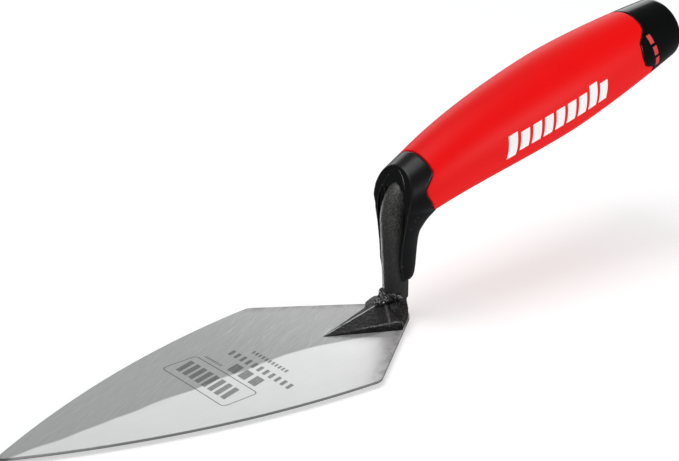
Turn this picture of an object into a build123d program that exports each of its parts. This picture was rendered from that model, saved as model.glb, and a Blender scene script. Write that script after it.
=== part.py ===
from build123d import *

import math
import os

# Pointing trowel: a steel blade, a forged foot, a bent round shank, and a moulded two-part handle.
# Millimetres. The origin is on the blade's flat underside, below the shank. The blade points to
# -X, the handle to +X, and +Z is up. The near side, -Y, is the side with the foot's wide flange.

# Blade
blade_length = 152.4            # tip to the origin, 6 in
blade_width = 69.85             # across the shoulders, 2 3/4 in
shoulder_setback = 36.1         # origin to the shoulders
edge_bow = 6.3                  # how far the long edges bow out of straight
tip_radius = 1.6
shoulder_radius = 4.0
heel_half_width = 13.65
heel_setback = 7.4              # origin to the corners of the heel
heel_reach = 4.6                # how far the heel runs back under the shank
heel_turn = 8.0                 # degrees that the outline turns in at the heel's corners
heel_bow = 0.42                 # how square the heel's curve is near its corners
heel_rear_bow = 0.4             # and at its rear
edge_thickness = 1.0
crease_rise = 0.5               # how much thicker the blade is at the heel's middle

# Foot, the forging that carries the shank
foot_length = 31.7              # origin to its front tip
foot_inset = 0.3                # how far its flange keeps inside the blade's heel
foot_far_half_width = 8.0       # the far flank is ground away with the blade's far face
foot_flange_height = 4.5
foot_ridge_height = 6.4
foot_ridge_setback = 4.4        # origin to the high end of the ridge
boss_radius = 4.3
boss_x = 0.3
boss_top = 7.0

# Shank and tang, one bent round bar
shank_radius = 4.5
shank_x = 1.2
shank_straight_top = 13.0       # the bar leans forward from this height
shank_ease_radius = 30.0
shank_bend_radius = 13.0
tang_setback = 36.5             # the tang ends this far short of the butt
tang_groove_width = 3.0
tang_groove_depth = 0.8
tang_groove_count = 3
tang_groove_pitch = 14.0

# Weld between the foot and the shank
weld_height = 8.3
weld_width = 1.5
weld_half_height = 1.6
weld_lump_radius = 3.6
weld_lump_half_height = 1.4
weld_lump_x = -3.2

# Handle axis, and the stations of its pieces measured along it
handle_pitch = 14.2             # degrees above level
handle_x = -2.1
handle_z = 45.05
shank_station = 1.1             # where the shank's own axis meets the handle's
nose_station = -8.0
nose_radius = 7.8
nose_droop = 2.6                # how far the nose's centre hangs below the axis
grip_station = 14.0
grip_radius = 11.4
grip_droop = 1.7
belly_station = 80.0
belly_radius = 15.85
belly_rise = 0.6                # the handle arches slightly
butt_station = 140.5
butt_radius = 11.7
butt_edge_radius = 2.6
swell_power = 1.65              # how fast the handle swells to its belly
droop_power = 4

# Joints between the black mouldings and the red grip. Seen from the side, each runs straight
# down from the top, steps forward to a tooth, and runs back again to a heel at the underside.
front_joint_station = 13.1
front_joint = dict(lobe=5.5, tooth_top=1.7, tooth_foot=-3.0, tooth_depth=4.1, heel=-10.5, step=2.2)
cap_length = 19.3               # from the rear joint's straight stretch to the butt
rear_joint = dict(lobe=9.9, tooth_top=6.4, tooth_foot=-3.0, tooth_depth=6.2, heel=-6.4, step=1.3)

# Core under the grip
grip_wall = 2.6
core_start = 7.0                # behind the start of the grip
core_setback = 29.5             # the core's full width ends this far short of the butt
spigot_radius = 6.6
spigot_reach = 5.0              # how far the front spigot runs into the bolster
spigot_setback = 10.5           # the rear spigot ends this far short of the butt

# Front bolster, the finger guard that runs down behind the shank
rim_x = -1.2
guard_bottom = 14.6
guard_knee_height = 28.0
guard_top = 42.0
guard_bottom_depth = 8.2        # behind the shank's axis
guard_knee_depth = 9.8
guard_top_depth = 17.0
guard_bottom_half_width = 5.9
guard_knee_half_width = 7.1
guard_top_half_width = 8.0
guard_edge_radius = 1.6
mouth_clearance = 0.25
mouth_top = 47.4
mouth_corner = 3.6
recess_half_width = 5.3
recess_top = 52.6
recess_corner = 4.4
recess_depth = 1.2

# Red inlays in the cap
inlay_count = 3
inlay_length = 2.8              # along the handle
inlay_width = 3.8
inlay_thickness = 1.0
inlay_proud = 0.25
inlay_setback = 19.1            # the first one's middle, from the butt
inlay_station_step = 1.5
inlay_start_angle = 66.0        # degrees from the top, towards the near side
inlay_angle_step = 20.0

margin = 300.0                  # cutting blocks are this large


def handle_point(station, height=0.0):
    """A point in the plane of symmetry, from its place along and above the handle's axis."""
    pitch = math.radians(handle_pitch)
    x = handle_x + station * math.cos(pitch) - height * math.sin(pitch)
    z = handle_z + station * math.sin(pitch) + height * math.cos(pitch)
    return Vector(x, 0, z)


def handle_plane(station, height=0.0):
    """A plane square to the handle's axis: its own X is up, and its own Y is the near side."""
    pitch = math.radians(handle_pitch)
    along = (math.cos(pitch), 0, math.sin(pitch))
    up = (-math.sin(pitch), 0, math.cos(pitch))
    return Plane(origin=handle_point(station, height), x_dir=up, z_dir=along)


def beyond(point, normal):
    """A large block that fills the space beyond a plane, on the side its normal points to."""
    block = Box(margin, margin, margin, align=(Align.CENTER, Align.CENTER, Align.MIN))
    return Plane(origin=point, z_dir=normal) * block


def roof_cut(low, high, eave):
    """What lies above the sloping plane through three points, on the eave's side of y = 0."""
    normal = (high - low).cross(eave - low).normalized()
    if normal.Z < 0:
        normal = -normal
    return beyond(low, normal) & beyond((0, 0, 0), (0, eave.Y, 0))


def cross_prism(points):
    """A prism across the whole trowel, from points of its outline in side view."""
    face = make_face(Polyline(*points, close=True))
    return extrude(face, amount=blade_width, dir=(0, 1, 0), both=True)


def blade_outline(inset=0.0):
    """The blade from above: bowed long edges, short edges, and a heel that rounds them off."""
    tip = Vector(-blade_length + inset, 0)
    shoulder = Vector(-shoulder_setback, blade_width / 2 - inset)
    heel = Vector(-heel_setback, heel_half_width - inset)
    rear = Vector(heel_reach - inset, 0)
    chord = shoulder - tip
    bow = tip + chord * 0.5 + Vector(-chord.Y, chord.X).normalized() * edge_bow
    run = (heel - shoulder).normalized().rotate(Axis.Z, -heel_turn) * heel_bow * (rear.X - heel.X)
    half = Curve() + [
        ThreePointArc(tip, bow, shoulder),
        Line(shoulder, heel),
        Bezier(heel, heel + run, rear + Vector(0, heel_rear_bow * heel.Y), rear),
    ]
    return make_face(half + mirror(half, about=Plane.XZ))


def make_blade():
    """A flat-bottomed plate whose two top faces meet in a faint crease along the middle."""
    outline = blade_outline()
    outline = fillet(outline.vertices().sort_by(Axis.X)[0], tip_radius)
    shoulders = outline.vertices().sort_by(Axis.Y)
    outline = fillet([shoulders[0], shoulders[-1]], shoulder_radius)
    plate = extrude(outline, amount=edge_thickness + crease_rise)
    tip = Vector(-blade_length, 0, edge_thickness)
    heel = Vector(heel_reach, 0, edge_thickness + crease_rise)
    for side in (-1, 1):
        shoulder = Vector(-shoulder_setback, side * blade_width / 2, edge_thickness)
        plate -= roof_cut(tip, heel, shoulder)
    return plate


def make_foot(blade):
    """A wedge that rises to a ridge, with a flange on the blade and a boss under the shank."""
    front = Vector(-foot_length, 0, edge_thickness + crease_rise)
    ridge = Vector(-foot_ridge_setback, 0, foot_ridge_height)
    near = Vector(-heel_setback, foot_inset - heel_half_width, foot_flange_height)
    far = Vector(-heel_setback / 2, foot_far_half_width, 2 * edge_thickness)
    near_run = Vector(near.X + foot_length, near.Y) * 2
    far_run = Vector(far.X + foot_length, far.Y) * 2
    tip = Vector(-foot_length, 0)
    plan = make_face(Polyline(tip, tip + near_run, tip + far_run, close=True))
    plan &= blade_outline(foot_inset)
    wedge = extrude(plan, amount=foot_ridge_height)
    wedge -= roof_cut(front, ridge, near)
    wedge -= roof_cut(front, ridge, far)
    behind_ridge = beyond((-foot_ridge_setback, 0, 0), (1, 0, 0))
    wedge -= behind_ridge & beyond((0, 0, foot_flange_height), (0, 0, 1))
    flare_height = boss_top - foot_flange_height
    flare = Cone(boss_radius + flare_height, boss_radius, flare_height)
    flare = Pos(boss_x, 0, foot_flange_height + flare_height / 2) * flare
    flare &= extrude(plan, amount=boss_top)
    boss = Pos(boss_x, 0, boss_top / 2) * Cylinder(boss_radius, boss_top)
    return wedge + flare + boss - blade


def shank_path():
    """The bar's centre line: up from the foot, leaning forward, then back along the handle."""
    return FilletPolyline(
        (shank_x, 0, boss_top),
        (shank_x, 0, shank_straight_top),
        handle_point(shank_station),
        handle_point(butt_station - tang_setback),
        radius=(shank_ease_radius, shank_bend_radius),
    )


def make_shank():
    """The bent bar, with grooves round the tang that the moulded core grips."""
    section = Plane.XY.offset(boss_top) * Pos(shank_x, 0) * Circle(shank_radius)
    bar = sweep(section, path=shank_path())
    ring = Cylinder(shank_radius, tang_groove_width)
    ring -= Cylinder(shank_radius - tang_groove_depth, tang_groove_width)
    for index in range(tang_groove_count):
        station = butt_station - tang_setback - (index + 1) * tang_groove_pitch
        bar -= handle_plane(station) * ring
    return bar


def weld_button(inner_radius, radius, height):
    """A flat round bead about +Z, as a half ellipse turned about it, from a radius outwards."""
    arc = Spline(
        (inner_radius, -height), (radius, 0), (inner_radius, height),
        tangents=((1, 0), (-1, 0)),
    )
    closing = Line((inner_radius, height), (inner_radius, -height))
    profile = Plane.XZ * make_face(Curve() + [arc, closing])
    return revolve(profile, Axis.Z)


def make_weld(foot, shank):
    """A bead round the joint of foot and shank, with a lump that runs onto the ridge."""
    ring = weld_button(shank_radius, shank_radius + weld_width, weld_half_height)
    lump = weld_button(0, weld_lump_radius, weld_lump_half_height)
    bead = Pos(shank_x, 0, weld_height) * ring
    lump = Pos(weld_lump_x, 0, weld_height) * lump - shank
    return bead + lump - foot


def handle_section(station):
    """The handle's radius at a station, and how far its centre lies above the axis."""
    if station < belly_station:
        share = (belly_station - station) / (belly_station - grip_station)
        radius = belly_radius - (belly_radius - grip_radius) * share ** swell_power
        rise = belly_rise - (belly_rise + grip_droop) * share ** droop_power
    else:
        share = (station - belly_station) / (butt_station - belly_station)
        radius = belly_radius - (belly_radius - butt_radius) * share ** swell_power
        rise = belly_rise * (1 - share ** 2)
    return radius, rise


def handle_stations(first, last, count):
    """Evenly spaced stations, both ends included."""
    return [first + (last - first) * index / (count - 1) for index in range(count)]


def handle_loft(stations, wall=0.0):
    """A smooth body through the handle's round sections, less a wall all round."""
    circles = []
    for station in stations:
        radius, rise = handle_section(station)
        circles.append(handle_plane(station, rise) * Circle(radius - wall))
    return loft(circles)


def make_handle_body():
    """The handle's whole outside, from the nose to the butt."""
    nose = handle_plane(nose_station, -nose_droop) * Circle(nose_radius)
    radius, rise = handle_section(grip_station)
    front = handle_plane(grip_station, rise) * Circle(radius)
    tapered = loft([nose, front], ruled=True)
    body = handle_loft(handle_stations(grip_station, butt_station, 9))
    end = body.edges().sort_by(lambda edge: (edge.center() - handle_point(butt_station)).length)[0]
    return tapered + fillet(end, butt_edge_radius)


def joint_cut(station, lobe, tooth_top, tooth_foot, tooth_depth, heel, step):
    """What lies behind a joint, from its heights above the axis and its steps along it."""
    far = station + margin / 2
    return cross_prism([
        handle_point(station, blade_width),
        handle_point(station, lobe),
        handle_point(station - tooth_depth, tooth_top),
        handle_point(station - tooth_depth, tooth_foot),
        handle_point(station + step, heel),
        handle_point(station + step, -blade_width),
        handle_point(far, -blade_width),
        handle_point(far, blade_width),
    ])


def make_core(shank):
    """The hard core inside the grip, moulded round the tang, with a spigot at each end."""
    stations = handle_stations(grip_station + core_start, butt_station - core_setback, 7)
    spigot_start = grip_station - spigot_reach
    spigot_end = butt_station - spigot_setback
    spigot = Cylinder(spigot_radius, spigot_end - spigot_start)
    core = handle_loft(stations, grip_wall) + handle_plane((spigot_start + spigot_end) / 2) * spigot
    return core - shank


def guard_section(height, depth, half_width):
    """A level cut through the guard: straight across the front, rounded behind the shank."""
    back = Spline(
        (rim_x, -half_width), (depth, 0), (rim_x, half_width),
        tangents=((1, 0), (-1, 0)),
    )
    front = Line((rim_x, half_width), (rim_x, -half_width))
    return Pos(0, 0, height) * make_face(Curve() + [back, front])


def make_guard():
    """The tongue down the shank's back, before the channel is cut, with a rounded lower end."""
    tongue = loft([
        guard_section(guard_bottom, guard_bottom_depth, guard_bottom_half_width),
        guard_section(guard_knee_height, guard_knee_depth, guard_knee_half_width),
        guard_section(guard_top, guard_top_depth, guard_top_half_width),
    ])
    lower_end = tongue.faces().sort_by(Axis.Z)[0]
    return fillet(lower_end.edges(), guard_edge_radius)


def front_cut(half_width, top, corner, depth):
    """A round-topped slot let into the bolster's front, open at its lower end."""
    outline = Plane.YZ * Pos(0, top) * Rectangle(2 * half_width, top, align=(Align.CENTER, Align.MAX))
    outline = fillet(outline.vertices().sort_by(Axis.Z)[-2:], corner)
    reach = blade_width
    return Pos(rim_x - reach, 0, 0) * extrude(outline, amount=reach + depth)


def make_bolster(body, behind_joint, core, shank):
    """The black front moulding: a hood round the bend, and a channel down the shank's back."""
    hood = body - behind_joint - beyond((rim_x, 0, 0), (-1, 0, 0))
    bolster = hood + make_guard() - (body & behind_joint)
    recess = front_cut(recess_half_width, recess_top, recess_corner, recess_depth)
    mouth_half_width = shank_radius + mouth_clearance
    mouth = front_cut(mouth_half_width, mouth_top, mouth_corner, shank_x - rim_x)
    return bolster - core - shank - recess - mouth


def inlay_places():
    """Where the cap's inlays lie: planes on its surface, in a row that slants along it."""
    places = []
    for index in range(inlay_count):
        station = butt_station - inlay_setback + index * inlay_station_step
        angle = inlay_start_angle + index * inlay_angle_step
        radius, rise = handle_section(station)
        place = handle_plane(station, rise) * Rot(0, 0, angle) * Pos(radius + inlay_proud, 0, 0)
        places.append(place)
    return places


def make_inlays():
    """The red blocks let into the cap's near side."""
    block = Box(
        inlay_thickness, inlay_width, inlay_length,
        align=(Align.MAX, Align.CENTER, Align.CENTER),
    )
    return Part() + [place * block for place in inlay_places()]


def make_parts():
    """Every piece of the trowel, by the name of its node."""
    blade = make_blade()
    foot = make_foot(blade)
    shank = make_shank()
    core = make_core(shank)
    body = make_handle_body()
    behind_front_joint = joint_cut(front_joint_station, **front_joint)
    behind_rear_joint = joint_cut(butt_station - cap_length, **rear_joint)
    inlays = make_inlays()
    return {
        "blade": blade,
        "foot": foot,
        "shank": shank,
        "shank_weld": make_weld(foot, shank),
        "handle_core": core,
        "front_bolster": make_bolster(body, behind_front_joint, core, shank),
        "grip_sleeve": (body & behind_front_joint) - behind_rear_joint - core - shank,
        "butt_cap": (body & behind_rear_joint) - core - inlays,
        "cap_inlays": inlays,
    }


os.makedirs("parts", exist_ok=True)
for name, piece in make_parts().items():
    piece.label = name
    export_step(piece, "parts/" + name + ".step")
    print(name, "solids", len(piece.solids()), "volume", round(piece.volume, 1))
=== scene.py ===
import math
import random

import bpy
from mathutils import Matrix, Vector


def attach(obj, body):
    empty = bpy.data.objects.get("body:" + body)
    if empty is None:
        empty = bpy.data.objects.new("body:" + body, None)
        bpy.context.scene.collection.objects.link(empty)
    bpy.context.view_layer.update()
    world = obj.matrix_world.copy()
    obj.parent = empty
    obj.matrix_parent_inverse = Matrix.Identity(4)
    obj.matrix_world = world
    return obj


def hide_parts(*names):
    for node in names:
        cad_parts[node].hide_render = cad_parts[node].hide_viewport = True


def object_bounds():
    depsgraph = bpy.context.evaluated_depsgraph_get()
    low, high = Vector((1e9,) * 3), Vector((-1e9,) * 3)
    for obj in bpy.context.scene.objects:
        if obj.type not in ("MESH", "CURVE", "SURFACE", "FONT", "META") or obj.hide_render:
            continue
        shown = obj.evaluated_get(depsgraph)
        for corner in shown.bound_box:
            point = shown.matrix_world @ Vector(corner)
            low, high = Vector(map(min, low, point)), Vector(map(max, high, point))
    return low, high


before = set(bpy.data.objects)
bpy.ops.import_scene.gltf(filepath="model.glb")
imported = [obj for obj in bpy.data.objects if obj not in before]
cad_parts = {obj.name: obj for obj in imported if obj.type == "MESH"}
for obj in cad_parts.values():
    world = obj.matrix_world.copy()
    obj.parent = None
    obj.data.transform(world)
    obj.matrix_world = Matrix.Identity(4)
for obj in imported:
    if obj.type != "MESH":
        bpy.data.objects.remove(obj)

# A pointing trowel, in metres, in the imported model's own frame: the blade's flat underside lies
# on z = 0 and points to -X, the handle rises to +X, and -Y is the side nearest the camera.

cad_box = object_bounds()
mm = 0.001


# ---------------------------------------------------------------------------------------------
# Studio. A pale floor, a wide soft box overhead, and upright soft boxes round the trowel for
# the long soft reflections on the steel, the red grip and the black mouldings.
# ---------------------------------------------------------------------------------------------

def add_node(tree, kind, inputs=(), **settings):
    """A shader node with its settings, its inputs given as values or as other nodes' outputs."""
    made = tree.nodes.new("ShaderNode" + kind)
    for name, value in settings.items():
        setattr(made, name, value)
    for name, value in dict(inputs).items():
        feed(tree, made.inputs[name], value)
    return made


def feed(tree, socket, value):
    """Links an output to a socket, or sets the socket to a value."""
    if isinstance(value, bpy.types.NodeSocket):
        tree.links.new(value, socket)
    else:
        socket.default_value = value


def new_material(name, **values):
    """A material with its main shader's sockets set, and its node tree and that shader."""
    material = bpy.data.materials.new(name)
    material.use_nodes = True
    tree = material.node_tree
    shader = tree.nodes["Principled BSDF"]
    for socket, value in values.items():
        shader.inputs[socket.replace("_", " ")].default_value = value
    return material, tree, shader


floor_half_width = 4.0
floor_drop = 1.5 * mm           # the blade stands a little clear of the floor
floor_grey = 0.60
floor_glow = 0.47

bpy.ops.mesh.primitive_plane_add(
    size=2 * floor_half_width, location=(0, 0, cad_box[0][2] - floor_drop))
floor = bpy.context.object
floor.name = "studio_floor"
floor_paint = new_material(
    "floor_paint", Roughness=0.9, Base_Color=(floor_grey, floor_grey, floor_grey, 1),
    Specular_IOR_Level=0.1, Emission_Color=(1, 1, 1, 1), Emission_Strength=floor_glow)[0]
floor.data.materials.append(floor_paint)
floor.visible_glossy = False


def add_soft_box(name, place, aim, width, height, power):
    """A rectangular soft box that faces a point."""
    light = bpy.data.lights.new(name, "AREA")
    light.shape = "RECTANGLE"
    light.size = width
    light.size_y = height
    light.energy = power
    box = bpy.data.objects.new(name, light)
    bpy.context.scene.collection.objects.link(box)
    box.location = place
    box.rotation_euler = (Vector(aim) - Vector(place)).to_track_quat("-Z", "Y").to_euler()
    return box


middle = (Vector(cad_box[0]) + Vector(cad_box[1])) / 2
add_soft_box("overhead_box", place=(-0.45, 0.10, 1.5), aim=(0, 0, 0), width=1.1, height=1.1, power=18)
add_soft_box("back_panel", place=(0.95, 1.25, 0.62), aim=middle, width=1.7, height=0.75, power=8)
add_soft_box("near_panel", place=(0.52, -0.90, 0.32), aim=middle, width=0.32, height=0.32, power=4.5)

# Two panels below floor level, which only the black pieces mirror, as they would a bright floor.
add_soft_box(
    "floor_glow", place=(-0.75, -0.55, -0.32), aim=(0, 0, 30 * mm), width=1.0, height=0.30, power=2.4)
add_soft_box(
    "left_panel", place=(-0.06, 1.15, -0.40), aim=(0, 0, 25 * mm), width=0.34, height=0.6, power=7)

world = bpy.data.worlds.new("studio_air")
bpy.context.scene.world = world
world.use_nodes = True
air = world.node_tree.nodes["Background"].inputs
air["Color"].default_value = (0.92, 0.96, 1, 1)
air["Strength"].default_value = 0.16
bpy.context.scene.view_settings.view_transform = "Standard"

# The camera stands at the blade's near side, a little above the handle, and looks down at it.
camera_lens = 79.41             # on a sensor 36 mm wide
camera_azimuth = -40.25
camera_elevation = 22.03
camera_data = bpy.data.cameras.new("camera")
camera_data.sensor_width = 36
camera_data.lens = camera_lens
camera = bpy.data.objects.new("camera", camera_data)
bpy.context.scene.collection.objects.link(camera)
camera.location = (-316.19 * mm, -345.33 * mm, 220.57 * mm)
camera.rotation_euler = (math.radians(90 - camera_elevation), 0, math.radians(camera_azimuth))
bpy.context.scene.camera = camera


# ---------------------------------------------------------------------------------------------
# Blade. One piece of hardened steel plate, cut to a kite with bowed long edges. Its two top
# faces are ground separately, the far one coarsely and darkened by painted shade, and a
# generic mark is etched across them.
# ---------------------------------------------------------------------------------------------

def start_piece(name):
    """Names the primitive that was just added and opens it for editing, with all selected."""
    piece = bpy.context.object
    piece.name = name
    piece.data.name = name
    bpy.ops.object.mode_set(mode="EDIT")
    bpy.ops.mesh.select_all(action="SELECT")
    return piece


def cut_away(point, normal):
    """Cuts off what lies beyond a plane, on the side its normal points to, and closes the cut."""
    bpy.ops.mesh.select_all(action="SELECT")
    bpy.ops.mesh.bisect(
        plane_co=point, plane_no=normal, use_fill=True, clear_outer=True, threshold=0.001 * mm)


def choose(piece, kind, wanted):
    """Selects the edges or faces that pass a test, and goes on in edit mode."""
    bpy.ops.mesh.select_mode(type=kind)
    bpy.ops.mesh.select_all(action="DESELECT")
    bpy.ops.object.mode_set(mode="OBJECT")
    mesh = piece.data
    for part in {"EDGE": mesh.edges, "FACE": mesh.polygons}[kind]:
        part.select = wanted(mesh, part)
    bpy.ops.object.mode_set(mode="EDIT")


def apply_modifier(piece, kind, **settings):
    """Adds a modifier with its settings and applies it at once."""
    bpy.ops.object.mode_set(mode="OBJECT")
    bpy.context.view_layer.objects.active = piece
    modifier = piece.modifiers.new(kind.lower(), kind)
    for name, value in settings.items():
        setattr(modifier, name, value)
    bpy.ops.object.modifier_apply(modifier=modifier.name)


def set_in_place(piece):
    """Moves the piece's place, turn and scale into its mesh, and leaves edit mode."""
    if bpy.context.object.mode != "OBJECT":
        bpy.ops.object.mode_set(mode="OBJECT")
    bpy.ops.object.select_all(action="DESELECT")
    piece.select_set(True)
    bpy.context.view_layer.objects.active = piece
    bpy.ops.object.transform_apply(location=True, rotation=True, scale=True)


def upright_edge(at, reach=0.3 * mm):
    """A test for the upright edges within reach of a place in plan."""
    def wanted(mesh, edge):
        a, b = (mesh.vertices[i].co for i in edge.vertices)
        upright = (a - b).length > 0.5 * mm and (a.xy - b.xy).length < 0.02 * mm
        return upright and (a.xy - Vector(at)).length < reach
    return wanted


blade_tip = -152.4 * mm
blade_shoulder = Vector((-36.1 * mm, 34.925 * mm))
blade_bow = 6.3 * mm
blade_heel = Vector((-7.4 * mm, 13.65 * mm))
blade_rear = 4.6 * mm
blade_edge = 1.0 * mm           # thickness at the rim
blade_middle = 1.5 * mm         # thickness at the heel's middle
blade_bevel = 0.16 * mm
shoulder_round = 1.6 * mm       # how far each corner's rounding reaches along its sides
heel_round = 4.3 * mm
tip_round = 2.95 * mm
arc_sides = 900

# The long edge is an arc through the tip and the shoulder.
chord = blade_shoulder - Vector((blade_tip, 0))
arc_radius = (chord.length_squared / 4 + blade_bow ** 2) / (2 * blade_bow)
outward = Vector((-chord.y, chord.x)).normalized()
arc_centre = Vector((blade_tip, 0)) + chord / 2 - outward * (arc_radius - blade_bow)

bpy.ops.mesh.primitive_cylinder_add(
    vertices=arc_sides, radius=arc_radius, depth=blade_middle,
    location=(arc_centre.x, arc_centre.y, blade_middle / 2),
)
blade = start_piece("trowel_blade")
set_in_place(blade)
bpy.ops.object.mode_set(mode="EDIT")
short_edge = (blade_heel - blade_shoulder).normalized()
cut_away((0, 0, 0), (0, -1, 0))
cut_away((*blade_shoulder, 0), (-short_edge.y, short_edge.x, 0))
cut_away((blade_rear, 0, 0), (1, 0, 0))
low = Vector((blade_tip, 0, blade_edge))
high = Vector((blade_rear, 0, blade_middle))
roof = (high - low).cross(Vector((*blade_shoulder, blade_edge)) - low)
cut_away(low, roof)

# Half the blade has its corners rounded, and is then mirrored and rounded at the tip.
rear_corner = blade_heel + short_edge * (blade_rear - blade_heel.x) / short_edge.x
choose(blade, "EDGE", upright_edge(blade_shoulder))
bpy.ops.mesh.bevel(offset=shoulder_round, segments=10, affect="EDGES")
choose(blade, "EDGE", upright_edge(rear_corner))
bpy.ops.mesh.bevel(offset=heel_round, segments=12, affect="EDGES")
choose(blade, "FACE", lambda mesh, face: face.normal.y < -0.99)
bpy.ops.mesh.delete(type="FACE")
apply_modifier(blade, "MIRROR", use_axis=(False, True, False), merge_threshold=0.01 * mm)
bpy.ops.object.mode_set(mode="EDIT")
beside_tip = upright_edge((blade_tip, 0), reach=3.3 * mm)
at_tip = upright_edge((blade_tip, 0))
choose(blade, "EDGE", lambda mesh, edge: beside_tip(mesh, edge) and not at_tip(mesh, edge))
bpy.ops.mesh.dissolve_edges(use_verts=True)
choose(blade, "EDGE", at_tip)
bpy.ops.mesh.bevel(offset=tip_round, segments=8, affect="EDGES")
bpy.ops.mesh.select_all(action="SELECT")
bpy.ops.mesh.normals_make_consistent(inside=False)
bpy.ops.mesh.select_mode(type="EDGE")
bpy.ops.mesh.select_all(action="DESELECT")
bpy.ops.mesh.edges_select_sharp(sharpness=math.radians(60))
bpy.ops.mesh.bevel(offset=blade_bevel, segments=2, affect="EDGES")
bpy.ops.object.mode_set(mode="OBJECT")
bpy.ops.object.shade_smooth_by_angle(angle=math.radians(35))
apply_modifier(blade, "WEIGHTED_NORMAL", keep_sharp=True, weight=100)


def maths(tree, operation, a, b=0.0, c=0.0):
    """One step of arithmetic in a node tree."""
    step = add_node(tree, "Math", operation=operation)
    for socket, value in zip(step.inputs, (a, b, c)):
        feed(tree, socket, value)
    return step.outputs[0]


def times(tree, a, b):
    """The product of two values."""
    return maths(tree, "MULTIPLY", a, b)


def scaled(tree, value, by, plus):
    """A value times one amount, plus another."""
    return maths(tree, "MULTIPLY_ADD", value, by, plus)


def varied(tree, noise, by, middle_value):
    """A middle value, raised and lowered by noise."""
    return scaled(tree, maths(tree, "SUBTRACT", noise, 0.5), by, middle_value)


def largest(tree, *values):
    """The largest of some values."""
    most, *others = values
    for value in others:
        most = maths(tree, "MAXIMUM", most, value)
    return most


def ramp(tree, value, low, high):
    """Runs smoothly from 0 to 1 as a value goes from low to high."""
    inputs = {"Value": value, "From Min": low, "From Max": high}
    return add_node(tree, "MapRange", inputs, interpolation_type="SMOOTHSTEP").outputs[0]


def mixed(tree, share, a, b):
    """A colour between two colours."""
    step = add_node(tree, "Mix", data_type="RGBA")
    for socket, value in zip((step.inputs[0], step.inputs[6], step.inputs[7]), (share, a, b)):
        feed(tree, socket, value)
    return step.outputs[2]


def object_place(tree):
    """The place on the object, whole and as its three parts."""
    place = add_node(tree, "TexCoord").outputs["Object"]
    parts = add_node(tree, "SeparateXYZ", {"Vector": place}).outputs
    return place, parts[0], parts[1], parts[2]


def speckle(tree, place, size, detail=3.0):
    """Even noise with grains of about a size."""
    noise = {"Vector": place, "Scale": 1 / size, "Detail": detail, "Roughness": 0.6}
    return add_node(tree, "TexNoise", noise).outputs[0]


def streaks(tree, place, angle, length, width, detail=3.0, seed=0.0):
    """Noise drawn out into streaks of a length and a width, at an angle from +X."""
    layout = {"Vector": place, "Location": (seed, 0, 0),
              "Rotation": (0, 0, math.radians(angle)), "Scale": (length, width, width)}
    turned = add_node(tree, "Mapping", layout, vector_type="TEXTURE").outputs[0]
    return speckle(tree, turned, 1.0, detail)


def emboss(tree, shader, height, strength, depth):
    """Raises the surface by a height pattern of about a depth."""
    bump = add_node(tree, "Bump", {"Height": height, "Strength": strength, "Distance": depth})
    feed(tree, shader.inputs["Normal"], bump.outputs[0])


def between(tree, value, low, high):
    """1 where a value lies between two limits, and 0 elsewhere."""
    above = maths(tree, "GREATER_THAN", value, low)
    below = maths(tree, "LESS_THAN", value, high)
    return times(tree, above, below)


def row_of_blocks(tree, along, across, start, end, low, high, pitch, share, slant):
    """A row of slanted blocks: where along runs from start to end, and across from low to high."""
    leaning = scaled(tree, across, slant, along)
    steps = maths(tree, "DIVIDE", maths(tree, "SUBTRACT", leaning, start), pitch)
    turn = maths(tree, "FRACT", steps)
    inside = times(tree, between(tree, leaning, start, end), between(tree, across, low, high))
    return times(tree, inside, maths(tree, "LESS_THAN", turn, share))


blade_steel, tree, shader = new_material("ground_blade_steel", Metallic=0.55)
place, x, y, _ = object_place(tree)

# Which of the two ground faces a place is on, with a slightly wavering line between them.
# It turns towards the near side beside the foot.
waver = scaled(tree, speckle(tree, place, 18 * mm, 1.0), 3.0 * mm, 0.9 * mm)
turned_in = scaled(tree, ramp(tree, x, -48 * mm, -12 * mm), 8.5 * mm, waver)
far_face = ramp(tree, maths(tree, "ADD", y, turned_in), -0.5 * mm, 0.7 * mm)

# Coarse slanting scratches from the grinding wheel, strongest near the heel and shoulders.
coarse = streaks(tree, place, 27, 9 * mm, 0.35 * mm, 4.0)
deep = ramp(tree, streaks(tree, place, 23, 14 * mm, 0.5 * mm, 2.0, seed=0.3), 0.56, 0.74)
crossing = ramp(tree, streaks(tree, place, 40, 10 * mm, 0.4 * mm, 2.0, seed=0.7), 0.58, 0.76)
scratches = scaled(tree, deep, 0.6, times(tree, crossing, 0.4))
heelward = ramp(tree, x, -105 * mm, -25 * mm)
scratched = times(tree, scratches, scaled(tree, heelward, 0.8, 0.2))
fine = streaks(tree, place, 2, 14 * mm, 0.25 * mm, 4.0, seed=0.5)
cloudy = speckle(tree, place, 30 * mm, 2.0)

# The far face's grey is painted darker than the near face's: partly its coarser grind, partly painted
# shade where the far facet takes less light.
far_shaded_grey = varied(tree, coarse, 0.22, 0.31)
far_shaded_grey = scaled(tree, scratched, 0.16, far_shaded_grey)
near_lit_grey = varied(tree, fine, 0.09, 0.60)
near_lit_grey = varied(tree, cloudy, 0.06, near_lit_grey)
# Both faces are painted lighter towards the heel, a painted light against the shade that the shank and
# foot cast there.
near_lit_grey = times(tree, near_lit_grey, scaled(tree, ramp(tree, x, -80 * mm, -8 * mm), 0.12, 1.0))
far_shaded_grey = times(tree, far_shaded_grey, scaled(tree, ramp(tree, x, -70 * mm, -8 * mm), 0.25, 1.0))
two_greys = {"Factor": far_face, "A": near_lit_grey, "B": far_shaded_grey}
grey = add_node(tree, "Mix", two_greys, data_type="FLOAT").outputs[0]

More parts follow.
